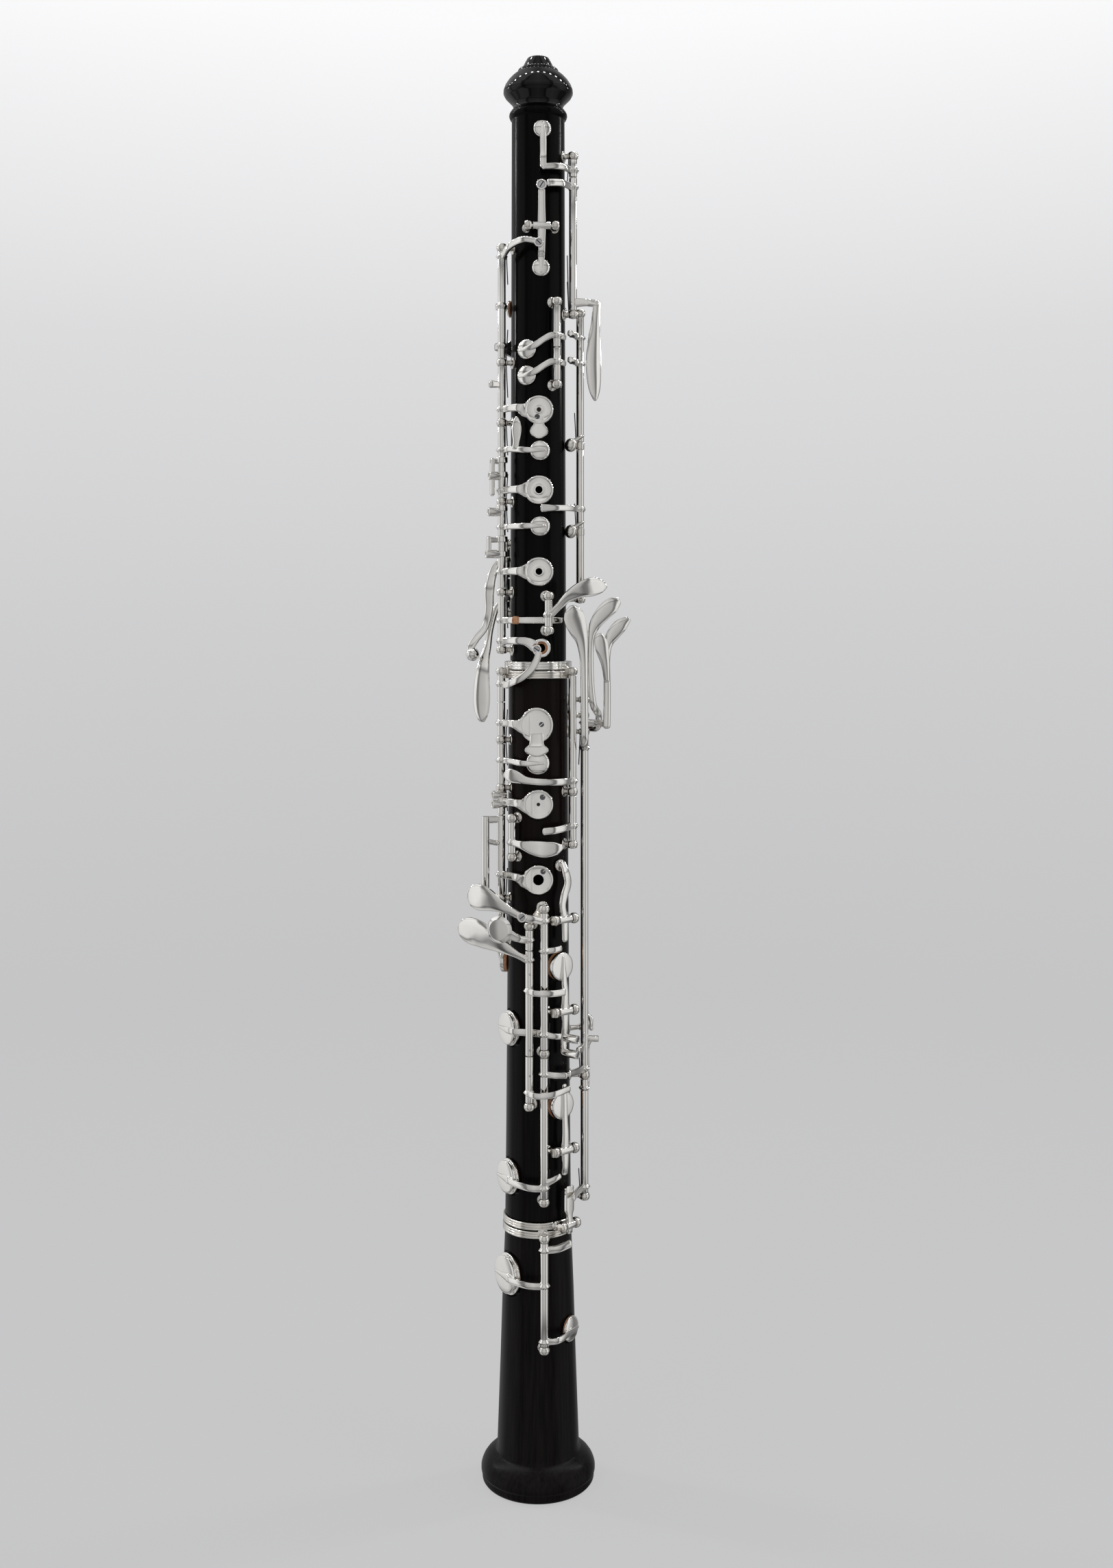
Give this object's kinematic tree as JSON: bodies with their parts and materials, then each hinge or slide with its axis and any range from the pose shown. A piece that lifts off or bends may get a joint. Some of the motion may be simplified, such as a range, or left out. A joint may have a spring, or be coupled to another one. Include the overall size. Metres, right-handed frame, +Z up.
{
  "type": "oboe",
  "caption": "Black wooden oboe in three joints with a flared bell, a reed socket and silver keywork of sprung cups, levers and pivot rods.",
  "frame": {"origin": "on the bore's axis, in the plane of the bell's rim", "axes": "+Z up the bore towards the reed socket, -Y the side the key cups face, +X the player's left-hand little-finger keys"},
  "size_m": [0.0718, 0.0476, 0.595],
  "materials": {
    "blackwood": "polished, near black",
    "silver_plate": "polished silver plate",
    "nickel_silver": "polished nickel silver posts, rings and steel rods"
  },
  "bodies": {
    "upper_joint": {"upper_joint": "blackwood", "upper_joint_ring": "silver_plate", "octave_rod_and_posts": "nickel_silver", "octave_rocker_posts": "nickel_silver", "upper_stack_rod_and_posts": "nickel_silver", "trill_rod_and_posts": "nickel_silver", "side_rod_and_posts": "nickel_silver", "g_sharp_rod_and_posts": "nickel_silver", "rear_rod_and_posts": "nickel_silver"},
    "lower_joint": {"lower_joint": "blackwood", "lower_joint_top_ring_and_rods": "nickel_silver", "leaf_rod_and_posts": "nickel_silver", "left_hand_rods_and_posts": "nickel_silver", "right_hand_rods_and_posts": "nickel_silver", "f_resonance_posts": "nickel_silver", "e_flat_cup_posts": "nickel_silver", "c_sharp_cup_posts": "nickel_silver", "lower_joint_bottom_ring_and_posts": "nickel_silver"},
    "bell": {"bell": "blackwood", "bell_ring_and_rod": "nickel_silver"},
    "top_trill_key_body": {"top_trill_key": "silver_plate"},
    "side_octave_key_body": {"side_octave_key": "silver_plate"},
    "octave_rocker_body": {"octave_rocker": "silver_plate"},
    "thumb_octave_key_body": {"thumb_octave_key": "silver_plate"},
    "half_hole_key_body": {"half_hole_key": "silver_plate"},
    "c_vent_key_body": {"c_vent_key": "silver_plate"},
    "a_key_body": {"a_key": "silver_plate"},
    "b_flat_key_body": {"b_flat_key": "silver_plate"},
    "g_key_body": {"g_key": "silver_plate"},
    "low_g_key_body": {"low_g_key": "silver_plate"},
    "d_trill_key_body": {"d_trill_key": "silver_plate"},
    "c_sharp_trill_key_body": {"c_sharp_trill_key": "silver_plate"},
    "upper_trill_link_body": {"upper_trill_link": "silver_plate"},
    "forked_f_vent_key_body": {"forked_f_vent_key": "silver_plate"},
    "g_sharp_lever_body": {"g_sharp_lever": "silver_plate"},
    "upper_trill_touch_body": {"upper_trill_touch": "silver_plate"},
    "lower_trill_touch_body": {"lower_trill_touch": "silver_plate"},
    "low_b_lever_body": {"low_b_lever": "silver_plate"},
    "left_f_lever_body": {"left_f_lever": "silver_plate"},
    "low_b_flat_lever_body": {"low_b_flat_lever": "silver_plate"},
    "low_b_flat_transfer_body": {"low_b_flat_transfer": "silver_plate"},
    "bridge_to_upper_key_body": {"bridge_to_upper_key": "silver_plate"},
    "f_sharp_key_body": {"f_sharp_key": "silver_plate"},
    "f_vent_key_body": {"f_vent_key": "silver_plate"},
    "e_key_body": {"e_key": "silver_plate"},
    "d_key_body": {"d_key": "silver_plate"},
    "d_sharp_key_body": {"d_sharp_key": "silver_plate"},
    "leaf_key_body": {"leaf_key": "silver_plate"},
    "forked_f_key_body": {"forked_f_key": "silver_plate"},
    "e_vent_arm_body": {"e_vent_arm": "silver_plate"},
    "low_c_key_body": {"low_c_key": "silver_plate"},
    "low_b_key_body": {"low_b_key": "silver_plate"},
    "c_sharp_touch_body": {"c_sharp_touch": "silver_plate"},
    "e_flat_key_body": {"e_flat_key": "silver_plate"},
    "c_sharp_release_arm_body": {"c_sharp_release_arm": "silver_plate"},
    "f_resonance_key_body": {"f_resonance_key": "silver_plate"},
    "e_flat_cup_key_body": {"e_flat_cup_key": "silver_plate"},
    "c_sharp_cup_key_body": {"c_sharp_cup_key": "silver_plate"},
    "bell_bridge_lever_body": {"bell_bridge_lever": "silver_plate"},
    "bell_key_body": {"bell_key": "silver_plate"}
  },
  "joints": [
    {"name": "bell_tenon", "type": "slide", "parent": "bell", "child": "lower_joint", "axis": [0, 0, 1], "range_m": [0, 0.018]},
    {"name": "middle_tenon", "type": "slide", "parent": "lower_joint", "child": "upper_joint", "axis": [0, 0, 1], "range_m": [0, 0.018]},
    {"name": "top_trill_key_hinge", "type": "hinge", "parent": "upper_joint", "child": "top_trill_key_body", "pos_m": [0.0146, -0.005, 0.548], "axis": [0, 0, 1], "range_deg": [0, 8], "stiffness_Nm_per_rad": 0.01, "springref_deg": -20.05},
    {"name": "side_octave_key_hinge", "type": "hinge", "parent": "upper_joint", "child": "side_octave_key_body", "pos_m": [0.0146, -0.005, 0.515], "axis": [0, 0, 1], "range_deg": [-2, 0], "stiffness_Nm_per_rad": 0.01, "springref_deg": 20.05},
    {"name": "octave_rocker_hinge", "type": "hinge", "parent": "upper_joint", "child": "octave_rocker_body", "pos_m": [0.00159, -0.01512, 0.5213], "axis": [0.9945, 0.1045, 0], "range_deg": [-5, 0], "stiffness_Nm_per_rad": 0.01, "springref_deg": 20.05},
    {"name": "thumb_octave_key_hinge", "type": "hinge", "parent": "upper_joint", "child": "thumb_octave_key_body", "pos_m": [-0.0151, -0.0058, 0.49], "axis": [0, 0, 1], "range_deg": [0, 4], "stiffness_Nm_per_rad": 0.01, "springref_deg": -20.05},
    {"name": "half_hole_key_hinge", "type": "hinge", "parent": "upper_joint", "child": "half_hole_key_body", "pos_m": [-0.0151, -0.0058, 0.454], "axis": [0, 0, 1], "range_deg": [0, 2.5], "stiffness_Nm_per_rad": 0.01, "springref_deg": -20.05},
    {"name": "c_vent_key_hinge", "type": "hinge", "parent": "upper_joint", "child": "c_vent_key_body", "pos_m": [-0.0151, -0.0058, 0.433], "axis": [0, 0, 1], "range_deg": [0, 2.5], "stiffness_Nm_per_rad": 0.01, "springref_deg": -20.05},
    {"name": "a_key_hinge", "type": "hinge", "parent": "upper_joint", "child": "a_key_body", "pos_m": [-0.0151, -0.0058, 0.418], "axis": [0, 0, 1], "range_deg": [0, 2.5], "stiffness_Nm_per_rad": 0.01, "springref_deg": -20.05},
    {"name": "b_flat_key_hinge", "type": "hinge", "parent": "upper_joint", "child": "b_flat_key_body", "pos_m": [-0.0151, -0.0058, 0.4], "axis": [0, 0, 1], "range_deg": [0, 2.5], "stiffness_Nm_per_rad": 0.01, "springref_deg": -20.05},
    {"name": "g_key_hinge", "type": "hinge", "parent": "upper_joint", "child": "g_key_body", "pos_m": [-0.0151, -0.0058, 0.383], "axis": [0, 0, 1], "range_deg": [0, 2.5], "stiffness_Nm_per_rad": 0.01, "springref_deg": -20.05},
    {"name": "low_g_key_hinge", "type": "hinge", "parent": "upper_joint", "child": "low_g_key_body", "pos_m": [-0.0151, -0.0058, 0.358], "axis": [0, 0, 1], "range_deg": [0, 1.6], "stiffness_Nm_per_rad": 0.01, "springref_deg": -20.05},
    {"name": "d_trill_key_hinge", "type": "hinge", "parent": "upper_joint", "child": "d_trill_key_body", "pos_m": [0.0078, -0.0128, 0.48], "axis": [0, 0, 1], "range_deg": [0, 7], "stiffness_Nm_per_rad": 0.01, "springref_deg": -20.05},
    {"name": "c_sharp_trill_key_hinge", "type": "hinge", "parent": "upper_joint", "child": "c_sharp_trill_key_body", "pos_m": [0.0078, -0.0128, 0.464], "axis": [0, 0, 1], "range_deg": [0, 7], "stiffness_Nm_per_rad": 0.01, "springref_deg": -20.05},
    {"name": "upper_trill_link_hinge", "type": "hinge", "parent": "upper_joint", "child": "upper_trill_link_body", "pos_m": [0.0176, 0, 0.457], "axis": [0, 0, 1], "range_deg": [-4, 0], "stiffness_Nm_per_rad": 0.01, "springref_deg": 20.05},
    {"name": "forked_f_vent_key_hinge", "type": "hinge", "parent": "upper_joint", "child": "forked_f_vent_key_body", "pos_m": [0.0176, 0, 0.414], "axis": [0, 0, 1], "range_deg": [0, 5], "stiffness_Nm_per_rad": 0.01, "springref_deg": -20.05},
    {"name": "g_sharp_lever_hinge", "type": "hinge", "parent": "upper_joint", "child": "g_sharp_lever_body", "pos_m": [0.0044, -0.015, 0.362], "axis": [0, 0, 1], "range_deg": [0, 3], "stiffness_Nm_per_rad": 0.01, "springref_deg": -20.05},
    {"name": "upper_trill_touch_hinge", "type": "hinge", "parent": "upper_joint", "child": "upper_trill_touch_body", "pos_m": [-0.0135, 0.009, 0.384], "axis": [0, 0, 1], "range_deg": [0, 4], "stiffness_Nm_per_rad": 0.01, "springref_deg": -20.05},
    {"name": "lower_trill_touch_hinge", "type": "hinge", "parent": "upper_joint", "child": "lower_trill_touch_body", "pos_m": [-0.0135, 0.009, 0.37], "axis": [0, 0, 1], "range_deg": [0, 4], "stiffness_Nm_per_rad": 0.01, "springref_deg": -20.05},
    {"name": "low_b_lever_hinge", "type": "hinge", "parent": "lower_joint", "child": "low_b_lever_body", "pos_m": [0.0194, -0.002, 0.24], "axis": [0, 0, 1], "range_deg": [-3, 0], "stiffness_Nm_per_rad": 0.01, "springref_deg": 20.05},
    {"name": "left_f_lever_hinge", "type": "hinge", "parent": "lower_joint", "child": "left_f_lever_body", "pos_m": [0.0194, -0.002, 0.319], "axis": [0, 0, 1], "range_deg": [0, 3], "stiffness_Nm_per_rad": 0.01, "springref_deg": -20.05},
    {"name": "low_b_flat_lever_hinge", "type": "hinge", "parent": "lower_joint", "child": "low_b_flat_lever_body", "pos_m": [0.0194, 0.0065, 0.253], "axis": [0, 0, 1], "range_deg": [-2, 0], "stiffness_Nm_per_rad": 0.01, "springref_deg": 20.05},
    {"name": "low_b_flat_transfer_hinge", "type": "hinge", "parent": "lower_joint", "child": "low_b_flat_transfer_body", "pos_m": [0.0194, -0.002, 0.144], "axis": [0, 0, 1], "range_deg": [0, 4], "stiffness_Nm_per_rad": 0.01, "springref_deg": -20.05},
    {"name": "bridge_to_upper_key_hinge", "type": "hinge", "parent": "lower_joint", "child": "bridge_to_upper_key_body", "pos_m": [-0.0153, -0.006, 0.33], "axis": [0, 0, 1], "range_deg": [0, 2.5], "stiffness_Nm_per_rad": 0.01, "springref_deg": -20.05},
    {"name": "f_sharp_key_hinge", "type": "hinge", "parent": "lower_joint", "child": "f_sharp_key_body", "pos_m": [-0.0153, -0.006, 0.318], "axis": [0, 0, 1], "range_deg": [0, 2.5], "stiffness_Nm_per_rad": 0.01, "springref_deg": -20.05},
    {"name": "f_vent_key_hinge", "type": "hinge", "parent": "lower_joint", "child": "f_vent_key_body", "pos_m": [-0.0153, -0.006, 0.299], "axis": [0, 0, 1], "range_deg": [0, 2.5], "stiffness_Nm_per_rad": 0.01, "springref_deg": -20.05},
    {"name": "e_key_hinge", "type": "hinge", "parent": "lower_joint", "child": "e_key_body", "pos_m": [-0.0153, -0.006, 0.283], "axis": [0, 0, 1], "range_deg": [0, 2.5], "stiffness_Nm_per_rad": 0.01, "springref_deg": -20.05},
    {"name": "d_key_hinge", "type": "hinge", "parent": "lower_joint", "child": "d_key_body", "pos_m": [-0.0153, -0.006, 0.26], "axis": [0, 0, 1], "range_deg": [0, 2.5], "stiffness_Nm_per_rad": 0.01, "springref_deg": -20.05},
    {"name": "d_sharp_key_hinge", "type": "hinge", "parent": "lower_joint", "child": "d_sharp_key_body", "pos_m": [-0.0153, -0.006, 0.235], "axis": [0, 0, 1], "range_deg": [0, 8], "stiffness_Nm_per_rad": 0.01, "springref_deg": -20.05},
    {"name": "leaf_key_hinge", "type": "hinge", "parent": "lower_joint", "child": "leaf_key_body", "pos_m": [-0.0106, -0.012, 0.2695], "axis": [0, 0, 1], "range_deg": [0, 3], "stiffness_Nm_per_rad": 0.01, "springref_deg": -20.05},
    {"name": "forked_f_key_hinge", "type": "hinge", "parent": "lower_joint", "child": "forked_f_key_body", "pos_m": [0.0143, -0.008, 0.312], "axis": [0, 0, 1], "range_deg": [-3, 0], "stiffness_Nm_per_rad": 0.01, "springref_deg": 20.05},
    {"name": "e_vent_arm_hinge", "type": "hinge", "parent": "lower_joint", "child": "e_vent_arm_body", "pos_m": [0.0143, -0.008, 0.277], "axis": [0, 0, 1], "range_deg": [-3, 0], "stiffness_Nm_per_rad": 0.01, "springref_deg": 20.05},
    {"name": "low_c_key_hinge", "type": "hinge", "parent": "lower_joint", "child": "low_c_key_body", "pos_m": [0.0026, -0.0172, 0.211], "axis": [0, 0, 1], "range_deg": [-4, 0], "stiffness_Nm_per_rad": 0.01, "springref_deg": 20.05},
    {"name": "low_b_key_hinge", "type": "hinge", "parent": "lower_joint", "child": "low_b_key_body", "pos_m": [0.0026, -0.0172, 0.151], "axis": [0, 0, 1], "range_deg": [-3.5, 0], "stiffness_Nm_per_rad": 0.01, "springref_deg": 20.05},
    {"name": "c_sharp_touch_hinge", "type": "hinge", "parent": "lower_joint", "child": "c_sharp_touch_body", "pos_m": [-0.0034, -0.0172, 0.228], "axis": [0, 0, 1], "range_deg": [-6, 0], "stiffness_Nm_per_rad": 0.01, "springref_deg": 20.05},
    {"name": "e_flat_key_hinge", "type": "hinge", "parent": "lower_joint", "child": "e_flat_key_body", "pos_m": [-0.0034, -0.0172, 0.202], "axis": [0, 0, 1], "range_deg": [-6, 0], "stiffness_Nm_per_rad": 0.01, "springref_deg": 20.05},
    {"name": "c_sharp_release_arm_hinge", "type": "hinge", "parent": "lower_joint", "child": "c_sharp_release_arm_body", "pos_m": [-0.0034, -0.0172, 0.171], "axis": [0, 0, 1], "range_deg": [-6, 0], "stiffness_Nm_per_rad": 0.01, "springref_deg": 20.05},
    {"name": "f_resonance_key_hinge", "type": "hinge", "parent": "lower_joint", "child": "f_resonance_key_body", "pos_m": [0.01093, -0.01302, 0.236], "axis": [0.766, 0.6428, 0], "range_deg": [0, 5], "stiffness_Nm_per_rad": 0.01, "springref_deg": -20.05},
    {"name": "e_flat_cup_key_hinge", "type": "hinge", "parent": "lower_joint", "child": "e_flat_cup_key_body", "pos_m": [0.01106, -0.01318, 0.1982], "axis": [0.766, 0.6428, 0], "range_deg": [0, 5.4], "stiffness_Nm_per_rad": 0.01, "springref_deg": -20.05},
    {"name": "c_sharp_cup_key_hinge", "type": "hinge", "parent": "lower_joint", "child": "c_sharp_cup_key_body", "pos_m": [0.01119, -0.01333, 0.141], "axis": [0.766, 0.6428, 0], "range_deg": [0, 2.7], "stiffness_Nm_per_rad": 0.01, "springref_deg": -20.05},
    {"name": "bell_bridge_lever_hinge", "type": "hinge", "parent": "lower_joint", "child": "bell_bridge_lever_body", "pos_m": [0.01293, -0.01164, 0.1096], "axis": [0.6691, 0.7431, 0], "range_deg": [-4, 0], "stiffness_Nm_per_rad": 0.01, "springref_deg": 20.05},
    {"name": "bell_key_hinge", "type": "hinge", "parent": "bell", "child": "bell_key_body", "pos_m": [0.0027, -0.0184, 0.083], "axis": [0, 0, 1], "range_deg": [-4, 0], "stiffness_Nm_per_rad": 0.01, "springref_deg": 20.05}
  ],
  "couplings": [
    {"joint": "e_flat_cup_key_hinge", "follows": "e_flat_key_hinge", "ratio": -0.9},
    {"joint": "c_sharp_release_arm_hinge", "follows": "c_sharp_touch_hinge", "ratio": 1},
    {"joint": "c_sharp_cup_key_hinge", "follows": "c_sharp_touch_hinge", "ratio": -0.45}
  ]
}
